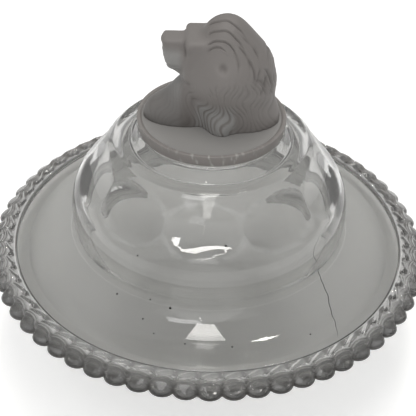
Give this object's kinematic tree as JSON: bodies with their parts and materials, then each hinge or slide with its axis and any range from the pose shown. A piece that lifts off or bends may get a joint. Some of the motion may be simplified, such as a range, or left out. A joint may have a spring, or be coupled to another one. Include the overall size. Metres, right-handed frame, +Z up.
{
  "type": "covered compote",
  "caption": "Low-footed pressed glass compote with a beaded brim and a lift-off domed cover with thumbprints and a frosted lion's head finial.",
  "frame": {"origin": "middle of the foot's underside, on the surface it stands on", "axes": "+Z up along the axis of the bowl and cover, the lion's head looks along -X"},
  "size_m": [0.216, 0.216, 0.1882],
  "materials": {
    "clear_glass": "fire-polished clear glass with a slight grey cast",
    "frosted_glass": "acid-frosted satin glass, grey"
  },
  "bodies": {
    "bowl_on_foot": {"foot": "clear_glass", "joining_wafer": "clear_glass", "bowl": "clear_glass"},
    "covered_top": {"cover": "clear_glass", "finial_plinth": "frosted_glass", "lion_head": "frosted_glass"}
  },
  "joints": [
    {"name": "cover_lift", "type": "slide", "parent": "bowl_on_foot", "child": "covered_top", "axis": [0, 0, 1], "range_m": [0, 0.12]}
  ]
}
